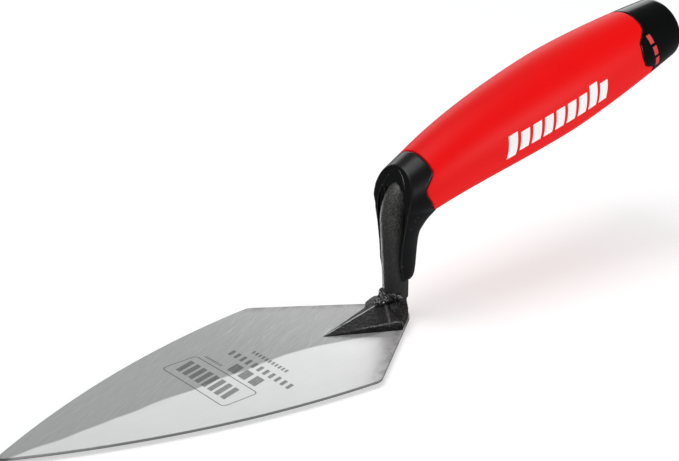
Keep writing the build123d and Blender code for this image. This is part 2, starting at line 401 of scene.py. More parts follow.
# Darker and blotched where the wheel ran off, along both short edges.
sideways = maths(tree, "ABSOLUTE", y)
short_length = scaled(tree, x, -short_edge.y, times(tree, sideways, short_edge.x))
edge_reach = -short_edge.y * blade_shoulder.x + short_edge.x * blade_shoulder.y
run_off = ramp(tree, short_length, edge_reach - 5 * mm, edge_reach - 0.3 * mm)
blotches = ramp(tree, speckle(tree, place, 4 * mm, 3.0), 0.42, 0.62)
run_off = times(tree, run_off, scaled(tree, blotches, 0.26, 0.06))
grey = times(tree, grey, maths(tree, "SUBTRACT", 1.0, run_off))

# The sheared side faces are darker than the ground top.
facing = add_node(tree, "NewGeometry").outputs["Normal"]
facing_up = add_node(tree, "SeparateXYZ", {"Vector": facing}).outputs[2]
side = ramp(tree, maths(tree, "ABSOLUTE", facing_up), 0.95, 0.5)
grey = times(tree, grey, scaled(tree, side, -0.45, 1.0))

# The etched mark: a frame with a row of blocks in it, a bold row, and two fine rows beside it.
frame_far, frame_near = 16.0 * mm, -17.0 * mm
frame_front, frame_rear = -84.4 * mm, -71.2 * mm
line_half = 0.22 * mm
corner = 1.6 * mm


def past(tree, value, low, high):
    """How far a value lies outside two limits."""
    off_middle = maths(tree, "SUBTRACT", value, (low + high) / 2)
    beyond = maths(tree, "SUBTRACT", maths(tree, "ABSOLUTE", off_middle), (high - low) / 2)
    return largest(tree, beyond, 0.0)


off_x = past(tree, x, frame_front + corner, frame_rear - corner)
off_y = past(tree, y, frame_near + corner, frame_far - corner)
squares = maths(tree, "ADD", times(tree, off_x, off_x), times(tree, off_y, off_y))
off_frame = maths(tree, "SQRT", squares)
mark = between(tree, off_frame, corner - line_half, corner + line_half)
etched_rows = (                 # start, end, front, rear, pitch, share of the pitch, and slant
    (-13.6 * mm, 13.2 * mm, -81.6 * mm, -74.2 * mm, 3.4 * mm, 0.66, -0.25),
    (-13.0 * mm, 3.0 * mm, -69.4 * mm, -64.4 * mm, 5.4 * mm, 0.7, -0.25),
    (5.0 * mm, 14.0 * mm, -69.6 * mm, -68.5 * mm, 1.1 * mm, 0.6, 0.0),
    (-21.0 * mm, 12.0 * mm, -62.6 * mm, -59.4 * mm, 3.0 * mm, 0.5, -0.25),
    (-12.0 * mm, 6.0 * mm, -56.4 * mm, -54.6 * mm, 1.7 * mm, 0.55, -0.25),
)
for start, end, low_x, high_x, pitch, share, slant in etched_rows:
    lean = maths(tree, "SUBTRACT", x, low_x)
    block = row_of_blocks(tree, y, lean, start, end, 0.0, high_x - low_x, pitch, share, slant)
    mark = largest(tree, mark, block)
worn = scaled(tree, speckle(tree, place, 0.5 * mm), 0.5, 0.55)
mark = times(tree, mark, maths(tree, "MINIMUM", worn, 1.0))
grey = times(tree, grey, scaled(tree, mark, -0.72, 1.0))

tint = add_node(tree, "CombineColor", {"Red": grey, "Green": grey, "Blue": grey})
feed(tree, shader.inputs["Base Color"], tint.outputs[0])
rough = scaled(tree, far_face, 0.10, 0.36)
rough = varied(tree, coarse, 0.25, rough)
rough = largest(tree, rough, times(tree, mark, 0.7))
feed(tree, shader.inputs["Roughness"], rough)
far_relief = times(tree, far_face, scaled(tree, coarse, 0.5, scratched))
relief = scaled(tree, fine, 0.35, far_relief)
emboss(tree, shader, relief, 0.35, 0.05 * mm)
blade.data.materials.append(blade_steel)
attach(blade, "root")
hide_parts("blade")


# ---------------------------------------------------------------------------------------------
# Foot. A forging welded to the blade's heel: a wedge that rises to a ridge, with a wide flange
# on the near side, and a flared neck that meets the shank. Black lacquer over a rough skin.
# ---------------------------------------------------------------------------------------------

def outward_normal(front, rear):
    """The normal of the upright wall through two points in plan, away from the foot's middle."""
    run = (rear - front).normalized()
    outer = Vector((run.y, -run.x, 0))
    return outer if outer.y * rear.y > 0 else -outer


foot_front = Vector((-31.7 * mm, 0, 1.3 * mm))
foot_ridge = Vector((-4.4 * mm, 0, 6.6 * mm))
foot_near = Vector((-7.6 * mm, -13.3 * mm, 4.5 * mm))
foot_far = Vector((-3.7 * mm, 7.9 * mm, 2.2 * mm))
foot_base = 0.9 * mm
foot_rear = 4.3 * mm
foot_inset = 0.3 * mm           # how far the foot stays in from the blade's short edges
rear_corner_cut = Vector((3.3 * mm, 3.2 * mm))
rear_corner_lean = 0.62
stock_size = 80 * mm
flange_height = 4.1 * mm
flange_corner = Vector((-11.2 * mm, -11.2 * mm))
wedge_back_slope = 0.9
wedge_back_shift = 0.9 * mm
neck_x = 1.1 * mm
neck_rows = (                   # height and radius, from the shank down
    (8.6 * mm, 4.3 * mm), (7.6 * mm, 4.45 * mm), (6.6 * mm, 4.85 * mm), (5.7 * mm, 5.6 * mm),
    (5.0 * mm, 6.7 * mm), (4.5 * mm, 8.2 * mm), (4.1 * mm, 10.2 * mm), (0.9 * mm, 10.4 * mm),
)


def trim_foot_plan():
    """Cuts the open piece to the foot's outline from above."""
    cut_away(foot_front, outward_normal(foot_front.xy, foot_near.xy))
    cut_away(foot_front, outward_normal(foot_front.xy, foot_far.xy))
    cut_away((foot_rear, 0, 0), (1, 0, 0))
    for side in (-1, 1):
        outer = Vector((-short_edge.y, side * short_edge.x, 0))
        corner = Vector((blade_heel.x, side * blade_heel.y, 0))
        cut_away(corner - outer * foot_inset, outer)
        rounded = Vector((1, side * rear_corner_lean, 0)).normalized()
        cut_away((rear_corner_cut.x, side * rear_corner_cut.y, 0), rounded)


def roof_normal(low, high, eave):
    """The upward normal of the plane through three points."""
    normal = (high - low).cross(eave - low).normalized()
    return normal if normal.z > 0 else -normal


def foot_block(name, height):
    """A block with the foot's outline and its far slope, as high as asked."""
    bpy.ops.mesh.primitive_cube_add(size=stock_size, location=(0, 0, foot_base + stock_size / 2))
    block = start_piece(name)
    set_in_place(block)
    bpy.ops.object.mode_set(mode="EDIT")
    trim_foot_plan()
    cut_away((0, 0, height), (0, 0, 1))
    cut_away(foot_front, roof_normal(foot_front, foot_ridge, foot_far))
    return block


def face_outward():
    """Turns every face of the open piece outward, and leaves edit mode."""
    bpy.ops.mesh.select_all(action="SELECT")
    bpy.ops.mesh.normals_make_consistent(inside=False)
    bpy.ops.object.mode_set(mode="OBJECT")


# The wedge ends in a slope that runs from the top of the ridge to the flange's edge.
foot = foot_block("trowel_foot", foot_ridge.z)
cut_away(foot_front, roof_normal(foot_front, foot_ridge, foot_near))
wedge_run = (flange_corner - foot_ridge.xy).normalized()
wedge_back = Vector((-wedge_run.y, wedge_run.x, 0))
wedge_back = (wedge_back if wedge_back.x > 0 else -wedge_back) + Vector((0, 0, wedge_back_slope))
cut_away(foot_ridge + Vector((wedge_back_shift, 0, 0)), wedge_back)
bpy.ops.object.mode_set(mode="OBJECT")
flange = foot_block("foot_flange", flange_height)
cut_away(foot_front, roof_normal(foot_front, foot_ridge, foot_near))
bpy.ops.object.mode_set(mode="OBJECT")


def extrude(move):
    """Extrudes what is selected, by a move."""
    bpy.ops.mesh.extrude_region_move(TRANSFORM_OT_translate={"value": move})


# The neck is a disc drawn down in steps, each wider than the last.
bpy.ops.mesh.primitive_circle_add(
    vertices=72, radius=neck_rows[0][1], fill_type="NGON", location=(neck_x, 0, neck_rows[0][0]))
neck = start_piece("foot_neck")
height, radius = neck_rows[0]
for next_height, next_radius in neck_rows[1:]:
    extrude((0, 0, next_height - height))
    scale = next_radius / radius
    bpy.ops.transform.resize(value=(scale, scale, 1), center_override=(neck_x, 0, next_height))
    height, radius = next_height, next_radius
face_outward()
set_in_place(neck)
bpy.ops.object.mode_set(mode="EDIT")
trim_foot_plan()
bpy.ops.object.mode_set(mode="OBJECT")


def fuse(piece, *others, voxel, smooth):
    """Joins closed shells into one skin on an even grid, and eases its edges."""
    bpy.ops.object.select_all(action="DESELECT")
    for part in (*others, piece):
        part.select_set(True)
    bpy.context.view_layer.objects.active = piece
    if others:
        bpy.ops.object.join()
    apply_modifier(piece, "REMESH", mode="VOXEL", voxel_size=voxel, use_smooth_shade=True)
    apply_modifier(piece, "SMOOTH", factor=0.5, iterations=smooth)
    return piece


def roughen(piece, grain, depth):
    """Raises and sinks the skin by noise with grains of about a size."""
    texture = bpy.data.textures.new(piece.name + "_skin", "CLOUDS")
    texture.noise_scale = grain
    texture.noise_depth = 2
    apply_modifier(piece, "DISPLACE", texture=texture, texture_coords="LOCAL", strength=depth)


fuse(foot, flange, neck, voxel=0.2 * mm, smooth=3)
roughen(foot, 1.6 * mm, 0.22 * mm)
roughen(foot, 0.6 * mm, 0.16 * mm)

forging_lacquer, tree, shader = new_material("black_forging_lacquer", Specular_IOR_Level=0.22)
place, x, y, z = object_place(tree)
grain = speckle(tree, place, 0.35 * mm, 4.0)
patches = speckle(tree, place, 5 * mm, 2.0)
lacquer, thin_lacquer = (0.004, 0.004, 0.004, 1), (0.012, 0.0117, 0.0113, 1)
bare_and_highlight_grey = (0.50, 0.50, 0.50, 1)

# Bare metal grey shows in flecks and along two of the near creases; at sharp edges and along the ridge
# it is a painted highlight line, partly edge wear.
pointed = add_node(tree, "NewGeometry").outputs["Pointiness"]
bared_and_highlit = times(tree, ramp(tree, pointed, 0.53, 0.62), ramp(tree, grain, 0.35, 0.6))
ridge_reach = times(tree, ramp(tree, x, -31 * mm, -28 * mm), ramp(tree, x, -3.4 * mm, -5.4 * mm))
off_ridge = maths(tree, "ABSOLUTE", maths(tree, "ADD", y, 0.05 * mm))
ridge_highlight = times(tree, ramp(tree, off_ridge, 0.42 * mm, 0.18 * mm), ridge_reach)
ridge_highlight = times(tree, ridge_highlight, ramp(tree, patches, 0.25, 0.45))
flecks = times(tree, ramp(tree, speckle(tree, place, 0.5 * mm, 2.0), 0.58, 0.70), 0.20)
bared_and_highlit = largest(tree, bared_and_highlit, ridge_highlight, flecks)
creases = (                     # start, end, shift to the side, half width, and strength
    (foot_ridge.xy + Vector((0.6 * mm, 0)), flange_corner, 0.0, 0.75 * mm, 0.28),
    (foot_front.xy, foot_near.xy, 0.45 * mm, 0.5 * mm, 0.55),
)
for start, end, shift, half, strength in creases:
    run = (end - start).normalized()
    along = times(tree, maths(tree, "SUBTRACT", x, start.x), run.y)
    across = times(tree, maths(tree, "SUBTRACT", y, start.y), run.x)
    off = maths(tree, "ADD", maths(tree, "SUBTRACT", along, across), shift)
    band = ramp(tree, maths(tree, "ABSOLUTE", off), half, half * 0.2)
    band = times(tree, band, ramp(tree, grain, 0.38, 0.62))
    band = times(tree, band, ramp(tree, y, -0.6 * mm, -1.6 * mm))
    band = times(tree, band, ramp(tree, z, 2.6 * mm, 3.4 * mm))
    bared_and_highlit = largest(tree, bared_and_highlit, times(tree, band, strength))
black = mixed(tree, ramp(tree, patches, 0.35, 0.7), lacquer, thin_lacquer)
black = mixed(tree, times(tree, bared_and_highlit, 0.9), black, bare_and_highlight_grey)
feed(tree, shader.inputs["Base Color"], black)
feed(tree, shader.inputs["Metallic"], times(tree, bared_and_highlit, 0.5))
feed(tree, shader.inputs["Roughness"], scaled(tree, grain, 0.35, 0.28))
emboss(tree, shader, grain, 0.7, 0.12 * mm)
foot.data.materials.append(forging_lacquer)
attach(foot, "root")
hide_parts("foot")


# ---------------------------------------------------------------------------------------------
# Shank and tang. One round steel bar, bent forward above the foot and then back into the
# handle, where three grooves key it into the core. Its cast skin shows through the lacquer in
# pores, painted in more strongly towards the upper bend as a painted sheen.
# ---------------------------------------------------------------------------------------------

handle_pitch = math.radians(14.2)
handle_start = Vector((-2.1 * mm, 0, 45.05 * mm))
handle_along = Vector((math.cos(handle_pitch), 0, math.sin(handle_pitch)))
handle_up = Vector((-math.sin(handle_pitch), 0, math.cos(handle_pitch)))


def handle_point(station, height=0.0):
    """A point in the plane of symmetry, from its place along and above the handle's axis."""
    return handle_start + handle_along * station + handle_up * height


bar_radius = 4.5 * mm
bar_foot = Vector((1.2 * mm, 0, 7.0 * mm))
bar_lean = Vector((1.2 * mm, 0, 13.0 * mm))
bar_bend = handle_point(1.1 * mm)
bar_end = handle_point(104 * mm)
bar_step = 0.42 * mm
bar_bends = (30 * mm, 13 * mm)  # radius of the easy bend, and of the tight one
bar_sides = 108
groove_places = (62 * mm, 76 * mm, 90 * mm)
groove_width = 3.0 * mm
groove_depth = 0.8 * mm


def run_bar(radius, around, step):
    """A round bar from the foot through both bends: straight runs extruded, and bends spun."""
    bpy.ops.mesh.primitive_circle_add(vertices=around, radius=radius, location=bar_foot)
    bar = start_piece("bar")
    set_in_place(bar)
    bpy.ops.object.mode_set(mode="EDIT")
    bpy.ops.mesh.select_all(action="SELECT")
    bpy.ops.mesh.edge_face_add()
    corners = (bar_foot, bar_lean, bar_bend, bar_end)
    here = bar_foot
    for before, corner, after, bend_radius in zip(corners, corners[1:], corners[2:], bar_bends):
        coming = (corner - before).normalized()
        going = (after - corner).normalized()
        turn = coming.angle(going)
        setback = bend_radius * math.tan(turn / 2)
        start = corner - coming * setback
        count = max(1, round((start - here).length / step))
        move = (start - here) / count
        for _ in range(count):
            extrude(move)
        axis = coming.cross(going).normalized()
        inward = axis.cross(coming)
        bpy.ops.mesh.spin(
            steps=max(4, round(turn * bend_radius / step)), angle=turn,
            center=start + inward * bend_radius, axis=-axis)
        here = corner + going * setback
    return bar, here


shank, here = run_bar(bar_radius, bar_sides, bar_step)
slimmer = 1 - groove_depth / bar_radius
for groove in groove_places:
    for edge, scale in ((groove - groove_width / 2, slimmer), (groove + groove_width / 2, 1 / slimmer)):
        there = handle_point(edge)
        extrude(there - here)
        here = there
        bpy.ops.mesh.extrude_region_move()
        bpy.ops.transform.resize(value=(scale, scale, scale), center_override=here)
extrude(bar_end - here)
bpy.ops.mesh.select_all(action="SELECT")
bpy.ops.mesh.remove_doubles(threshold=0.005 * mm)
face_outward()
shank.name = shank.data.name = "bent_shank"
bpy.ops.object.shade_smooth_by_angle(angle=math.radians(40))
roughen(shank, 1.1 * mm, 0.10 * mm)
roughen(shank, 0.45 * mm, 0.05 * mm)


def coat(tree, shader, colour, rough, height, strength, depth):
    """Sets a surface's colour and roughness, and raises it by a height pattern."""
    feed(tree, shader.inputs["Base Color"], colour)
    feed(tree, shader.inputs["Roughness"], rough)
    emboss(tree, shader, height, strength, depth)


shank_lacquer, tree, shader = new_material("black_shank_lacquer", Specular_IOR_Level=0.6)
place, _, _, z = object_place(tree)
grain = speckle(tree, place, 0.4 * mm, 4.0)
pores = ramp(tree, speckle(tree, place, 0.5 * mm), 0.40, 0.64)
patches = speckle(tree, place, 9 * mm, 2.0)
lacquer, thin_lacquer = (0.010, 0.010, 0.010, 1), (0.022, 0.021, 0.020, 1)
cast_skin_and_sheen = (0.11, 0.106, 0.098, 1)
# Light cast-skin grey in the pores, painted in more strongly higher up as a painted sheen where the
# upper bend faces the overhead light.
upper_bend_sheen = scaled(tree, ramp(tree, z, 24 * mm, 42 * mm), 0.55, 0.25)
black = mixed(tree, ramp(tree, patches, 0.3, 0.7), lacquer, thin_lacquer)
black = mixed(tree, times(tree, pores, upper_bend_sheen), black, cast_skin_and_sheen)
coat(tree, shader, black, scaled(tree, grain, 0.30, 0.30), grain, 0.6, 0.10 * mm)
shank.data.materials.append(shank_lacquer)
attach(shank, "root")
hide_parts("shank")


# ---------------------------------------------------------------------------------------------
# Weld. A hand-laid bead round the front of the joint of the foot and the shank, with a heap of
# weld metal that runs forward onto the ridge. Lacquered with the rest, so it glistens.
# ---------------------------------------------------------------------------------------------

weld_radius = 4.3 * mm
weld_height = 8.2 * mm
bead_drops = 20
bead_from, bead_turn = 100, 144         # degrees round the shank, from +X towards the far side
heap_drops = 14
heap_front = -2.6 * mm
heap_height = 8.1 * mm
drop_flatness = 0.85
dice = random.Random(7)
blobs = []
for index in range(bead_drops):
    turn = math.radians(bead_from + bead_turn * index / (bead_drops - 1))
    size = dice.uniform(1.1, 1.8) * mm
    reach = weld_radius + dice.uniform(-0.3, 0.2) * mm
    rise = weld_height + dice.uniform(-0.7, 0.5) * mm
    blobs.append(((bar_foot.x + reach * math.cos(turn), reach * math.sin(turn), rise), size))
for index in range(heap_drops):
    forward = heap_front - index * 0.30 * mm
    side = dice.uniform(-2.0, 1.6) * mm * (1 - index / 20)
    size = dice.uniform(1.2, 1.9) * mm
    blobs.append(((forward, side, heap_height - index * 0.13 * mm), size))
parts = []
for centre, size in blobs:
    bpy.ops.mesh.primitive_ico_sphere_add(subdivisions=3, radius=size, location=centre)
    bpy.ops.transform.resize(value=(1, 1, drop_flatness))
    parts.append(bpy.context.object)
weld = fuse(*reversed(parts), voxel=0.16 * mm, smooth=2)
set_in_place(weld)
weld.name = weld.data.name = "weld_bead"
roughen(weld, 1.0 * mm, 0.45 * mm)
roughen(weld, 0.4 * mm, 0.15 * mm)

weld_metal, tree, shader = new_material("lacquered_weld_metal", Metallic=0.6)
place = object_place(tree)[0]
grain = speckle(tree, place, 0.5 * mm)
lacquer, bright_metal = (0.022, 0.022, 0.022, 1), (0.34, 0.34, 0.34, 1)
black = mixed(tree, ramp(tree, grain, 0.52, 0.72), lacquer, bright_metal)
coat(tree, shader, black, scaled(tree, grain, 0.30, 0.10), grain, 0.8, 0.15 * mm)
weld.data.materials.append(weld_metal)
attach(weld, "root")
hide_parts("shank_weld")


# ---------------------------------------------------------------------------------------------
# Handle core. A hard moulding round the tang, which fills the grip and joins the black pieces.
# Nothing of it shows once the grip is moulded over it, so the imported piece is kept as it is.
# ---------------------------------------------------------------------------------------------

core_plastic, tree, shader = new_material("core_plastic")
place = object_place(tree)[0]
grain = speckle(tree, place, 0.3 * mm, 2.0)
black = mixed(tree, grain, (0.016, 0.016, 0.017, 1), (0.024, 0.024, 0.026, 1))
feed(tree, shader.inputs["Base Color"], black)
feed(tree, shader.inputs["Roughness"], scaled(tree, grain, 0.1, 0.45))
core_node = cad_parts["handle_core"]
core_node.data.materials.clear()
core_node.data.materials.append(core_plastic)


# ---------------------------------------------------------------------------------------------
# Front bolster. The hard black moulding at the handle's front: a hood round the shank's bend,
# hollowed in front, and a tongue down the shank's back that keeps the fingers off the steel.
# ---------------------------------------------------------------------------------------------

nose_place = -8 * mm            # stations along the handle, with the radius and rise at each
grip_start = 14 * mm
belly_place = 80 * mm
butt_place = 140.5 * mm
nose_radius = 7.8 * mm
start_radius = 11.4 * mm
belly_radius = 15.85 * mm
butt_radius = 11.7 * mm
nose_rise = -2.6 * mm
start_rise = -1.7 * mm
belly_rise = 0.6 * mm
swell_power = 1.65
droop_power = 4


def handle_section(station):
    """The handle's radius at a station, and how far its centre lies above the axis."""
    if station < grip_start:
        share = (grip_start - station) / (grip_start - nose_place)
        radius = start_radius + (nose_radius - start_radius) * share
        return radius, start_rise + (nose_rise - start_rise) * share
    if station < belly_place:
        share = (belly_place - station) / (belly_place - grip_start)
        radius = belly_radius + (start_radius - belly_radius) * share ** swell_power
        return radius, belly_rise + (start_rise - belly_rise) * share ** droop_power
    share = (station - belly_place) / (butt_place - belly_place)
    radius = belly_radius + (butt_radius - belly_radius) * share ** swell_power
    return radius, belly_rise * (1 - share ** 2)


def handle_skin(station, angle, lift=0.0):
    """A point on the handle's skin, its angle from the top towards the near side."""
    radius, rise = handle_section(station)
    radius += lift
    point = handle_point(station, rise + radius * math.cos(angle))
    point.y = -radius * math.sin(angle)
    return point


def follow(marks, angle):
    """A joint's station at an angle, through its marks on either side, eased at each."""
    turn = abs(math.degrees(math.atan2(math.sin(angle), math.cos(angle))))
    for (a, low), (b, high) in zip(marks, marks[1:]):
        if turn <= b:
            share = (turn - a) / (b - a)
            eased = share * share * (3 - 2 * share)
            share = share * 0.6 + eased * 0.4
            return (low + (high - low) * share) * mm
    return marks[-1][1] * mm


# Where the red grip begins and ends, in millimetres along the handle, by degrees from its top.
front_joint = ((0, 13.4), (40, 13.1), (56, 12.9), (79, 7.9), (88, 7.8), (118, 10.0), (149, 12.8),
               (162, 17.0), (180, 19.5))
rear_joint = ((0, 122.0), (36, 121.2), (46, 120.4), (64, 115.3), (84, 114.6), (100, 115.8),
              (117, 122.0), (130, 122.5), (180, 122.5))


def roll_up(name, around, rows, place):
    """A grid rolled into a tube: each vertex's share round and share along give its place."""
    bpy.ops.mesh.primitive_grid_add(x_subdivisions=around, y_subdivisions=rows, size=2)
    piece = start_piece(name)
    bpy.ops.object.mode_set(mode="OBJECT")
    for vertex in piece.data.vertices:
        round_share = (vertex.co.x + 1) / 2
        along_share = (vertex.co.y + 1) / 2
        vertex.co = place(2 * math.pi * round_share, round(along_share * rows))
    bpy.ops.object.mode_set(mode="EDIT")
    bpy.ops.mesh.select_all(action="SELECT")
    bpy.ops.mesh.remove_doubles(threshold=0.002 * mm)
    face_outward()
    return piece


hood_rows = 40
hood_front = -9 * mm
hood_gap = 0.12 * mm            # between the hood and the grip


def hood_place(angle, row):
    """The hood's skin from the joint forward to the nose, closed at both ends."""
    back = follow(front_joint, angle) - hood_gap
    if row == 0:
        return handle_point(6 * mm, -2 * mm)
    if row == hood_rows:
        return handle_point(hood_front, nose_rise)
    share = (row - 1) / (hood_rows - 2)
    return handle_skin(back + (hood_front - back) * share, angle)


hood = roll_up("front_bolster_moulding", 96, hood_rows, hood_place)

# The part of the hood that lies hidden under the front of the grip.
hidden_radius = 9.2 * mm
hidden_length = 14 * mm
hidden_place = 13 * mm
hidden_rise = -1.9 * mm
bpy.ops.mesh.primitive_cylinder_add(vertices=64, radius=hidden_radius, depth=hidden_length)
under_grip = start_piece("under_grip")
under_grip.location = handle_point(hidden_place, hidden_rise)
under_grip.rotation_euler = handle_along.to_track_quat("Z", "Y").to_euler()
set_in_place(under_grip)

rim_x = -1.3 * mm
tongue_rows = (                 # in millimetres: height, how far back it reaches, and half width
    (12.9, 6.4, 3.8), (13.2, 7.8, 4.7), (13.8, 8.5, 5.15), (15.0, 8.9, 5.4), (17.4, 9.3, 5.5),
    (19.6, 9.5, 5.5), (24.3, 9.8, 5.85), (27.5, 10.1, 6.25), (29.7, 10.6, 6.6), (31.0, 11.5, 6.8),
    (32.0, 12.6, 6.95), (33.2, 13.9, 7.15), (34.6, 15.8, 7.5), (36.2, 18.8, 7.9), (38.0, 20.2, 8.3),
    (42.0, 19.0, 8.3), (45.0, 12.0, 7.8),
)
bpy.ops.mesh.primitive_circle_add(vertices=72, radius=1.0, fill_type="NGON")
tongue = start_piece("tongue")
height, depth, half_width = (value * mm for value in tongue_rows[0])
tongue.scale = (depth - rim_x, half_width, 1)
tongue.location = (rim_x, 0, height)
set_in_place(tongue)
bpy.ops.object.mode_set(mode="EDIT")
bpy.ops.mesh.select_all(action="SELECT")
for row in tongue_rows[1:]:
    next_height, next_depth, next_half_width = (value * mm for value in row)
    extrude((0, 0, next_height - height))
    bpy.ops.transform.resize(
        value=((next_depth - rim_x) / (depth - rim_x), next_half_width / half_width, 1),
        center_override=(rim_x, 0, next_height))
    height, depth, half_width = next_height, next_depth, next_half_width
face_outward()

fuse(hood, under_grip, tongue, voxel=0.28 * mm, smooth=6)

# The front is cut back to the rim, which leans back towards its top and towards the tongue's end.
rim_knee = Vector((rim_x, 0, 42 * mm))
rim_top = Vector((1.3 * mm, 0, 54.2 * mm))
tongue_knee = 20 * mm
tongue_slope = 0.24
rim_lean = Vector((-(rim_top.z - rim_knee.z), 0, rim_top.x - rim_knee.x)).normalized()
bpy.ops.object.mode_set(mode="EDIT")
cut_away(rim_knee, (-1, 0, 0))
cut_away(rim_knee, rim_lean)
cut_away((rim_x, 0, tongue_knee), (-1, 0, -tongue_slope))
bpy.ops.object.mode_set(mode="OBJECT")


def cut_with(piece, cutter):
    """Takes a cutter's shape out of a piece."""
    apply_modifier(piece, "BOOLEAN", operation="DIFFERENCE", solver="EXACT", object=cutter)
    bpy.data.objects.remove(cutter)


# The hollow in the front is a long oval, shallower above the mouth that the bar goes into.
hollow_half_height = 15.5 * mm
hollow_half_width = 6.8 * mm
hollow_middle = 37.3 * mm
for lean, hollow_depth in ((Vector((-1, 0, 0)), 1.4 * mm), (rim_lean, 0.40 * mm)):
    bpy.ops.mesh.primitive_cylinder_add(vertices=96, radius=1.0, depth=40 * mm)
    hollow = start_piece("hollow")
    hollow.rotation_euler = (0, math.radians(90), 0)
    hollow.scale = (hollow_half_height, hollow_half_width, 1)
    hollow.location = (0, 0, hollow_middle)
    set_in_place(hollow)
    bpy.ops.object.mode_set(mode="EDIT")
    cut_away(rim_knee - lean * hollow_depth, -lean)
    bpy.ops.object.mode_set(mode="OBJECT")
    cut_with(hood, hollow)

# The channel down the tongue and the mouth above it leave a narrow gap round the bar.
channel_radius = 4.75 * mm
channel_end = handle_point(16 * mm)
slot_width = 9.4 * mm
channel, here = run_bar(channel_radius, 64, 1.5 * mm)
extrude(channel_end - here)
face_outward()
cut_with(hood, channel)
bpy.ops.mesh.primitive_cube_add(size=1.0, location=(-9.0 * mm, 0, 26 * mm))
slot_cutter = start_piece("slot_cutter")
slot_cutter.scale = (20 * mm, slot_width, 40 * mm)
set_in_place(slot_cutter)
cut_with(hood, slot_cutter)
bolster = fuse(hood, voxel=0.22 * mm, smooth=10)
bolster.name = bolster.data.name = "front_bolster_moulding"

bolster_plastic, tree, shader = new_material("satin_black_plastic", Specular_IOR_Level=0.26)
place = object_place(tree)[0]
spark = speckle(tree, place, 0.22 * mm, 2.0)
cloud = speckle(tree, place, 12 * mm, 2.0)
black = mixed(tree, cloud, (0.003, 0.003, 0.0033, 1), (0.006, 0.006, 0.0064, 1))
# The edges are painted lighter grey by pointiness, a painted highlight along the rim's rounded edge.
edge_highlight = ramp(tree, add_node(tree, "NewGeometry").outputs["Pointiness"], 0.508, 0.57)
black = mixed(tree, edge_highlight, black, (0.040, 0.040, 0.041, 1))
coat(tree, shader, black, scaled(tree, spark, 0.12, 0.26), spark, 0.25, 0.03 * mm)
bolster.data.materials.append(bolster_plastic)
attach(bolster, "root")
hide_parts("front_bolster")


# ---------------------------------------------------------------------------------------------
# Grip sleeve. Soft red rubber moulded over the core between the two black mouldings, swelling
# to the palm, with a toothed joint at each end and a row of white blocks printed on its side.
# ---------------------------------------------------------------------------------------------

grip_wall = 2.2 * mm
grip_gap = 0.14 * mm            # between the grip and the cap
grip_body_rows = 120
grip_inner_rows = 12
grip_lip = (                    # in from the joint, and out from the skin
    (0.55 * mm, 0.0), (0.26 * mm, -0.04 * mm), (0.08 * mm, -0.16 * mm), (0.0, -0.36 * mm),
    (0.0, -0.9 * mm),
)


def sleeve_place(angle, row):
    """The sleeve's closed wall: inside front, front lip, skin, rear lip, inside rear."""
    front = follow(front_joint, angle)
    rear = follow(rear_joint, angle) - grip_gap
    lips = len(grip_lip)
    if row < lips:
        inward, lift = grip_lip[lips - 1 - row]
        return handle_skin(front + inward, angle, lift)
    row -= lips
    if row < grip_body_rows:
        inward = grip_lip[0][0] * 2
        share = row / (grip_body_rows - 1)
        return handle_skin(front + inward + (rear - front - 2 * inward) * share, angle)
    row -= grip_body_rows
    if row < lips:
        inward, lift = grip_lip[row]
        return handle_skin(rear - inward, angle, lift)
    row -= lips
    if row > grip_inner_rows:
        return handle_skin(front, angle, grip_lip[-1][1])
    return handle_skin(rear + (front - rear) * row / grip_inner_rows, angle, -grip_wall)


grip_rows = 2 * len(grip_lip) + grip_body_rows + grip_inner_rows + 1
grip = roll_up("red_grip_sleeve", 144, grip_rows, sleeve_place)
bpy.ops.object.shade_smooth()

# The printed row follows the skin: the map holds distances along it and round it, scaled up.
map_scale = 10
map_radius = 15 * mm
pattern = grip.data.uv_layers.active or grip.data.uv_layers.new(name="skin")
pattern.name = "skin"
for polygon in grip.data.polygons:
    for loop in polygon.loop_indices:
        point = grip.data.vertices[grip.data.loops[loop].vertex_index].co
        off = point - handle_start
        station = off.dot(handle_along)
        radius, rise = handle_section(station)
        angle = math.atan2(-point.y, off.dot(handle_up) - rise)
        pattern.data[loop].uv = (station * map_scale, angle * map_radius * map_scale)

grip_rubber, tree, shader = new_material("red_grip_rubber", Specular_IOR_Level=0.14)
place = object_place(tree)[0]
skin = add_node(tree, "UVMap", uv_map="skin").outputs[0]
skin_parts = add_node(tree, "SeparateXYZ", {"Vector": skin}).outputs
station = maths(tree, "DIVIDE", skin_parts[0], map_scale)
round_it = maths(tree, "DIVIDE", skin_parts[1], map_scale)
print_middle = 24.4 * mm        # how far round from the top the row is printed
print_pitch = 5.7 * mm
print_share = 0.74
print_slant = -0.22
printed_rows = (                # start, end, low and high; the first and eighth blocks are taller
    (43.0 * mm, 93.4 * mm, -3.4 * mm, 3.4 * mm),
    (43.0 * mm, 47.3 * mm, -4.4 * mm, 4.4 * mm),
    (82.9 * mm, 87.2 * mm, -3.4 * mm, 4.8 * mm),
)
height = maths(tree, "SUBTRACT", print_middle, round_it)
rows = [
    row_of_blocks(tree, station, height, *limits, print_pitch, print_share, print_slant)
    for limits in printed_rows
]
ink = largest(tree, *rows)
spark = speckle(tree, place, 0.3 * mm, 2.0)
cloud = speckle(tree, place, 22 * mm, 2.0)
red = mixed(tree, cloud, (0.82, 0.0018, 0.0024, 1), (0.88, 0.0030, 0.0036, 1))
red = mixed(tree, ink, red, (0.93, 0.93, 0.92, 1))
feed(tree, shader.inputs["Base Color"], red)
feed(tree, shader.inputs["Roughness"], scaled(tree, spark, 0.14, 0.42))
relief = scaled(tree, ink, 0.6, times(tree, spark, 0.4))
emboss(tree, shader, relief, 0.25, 0.04 * mm)
grip.data.materials.append(grip_rubber)
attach(grip, "root")
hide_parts("grip_sleeve")


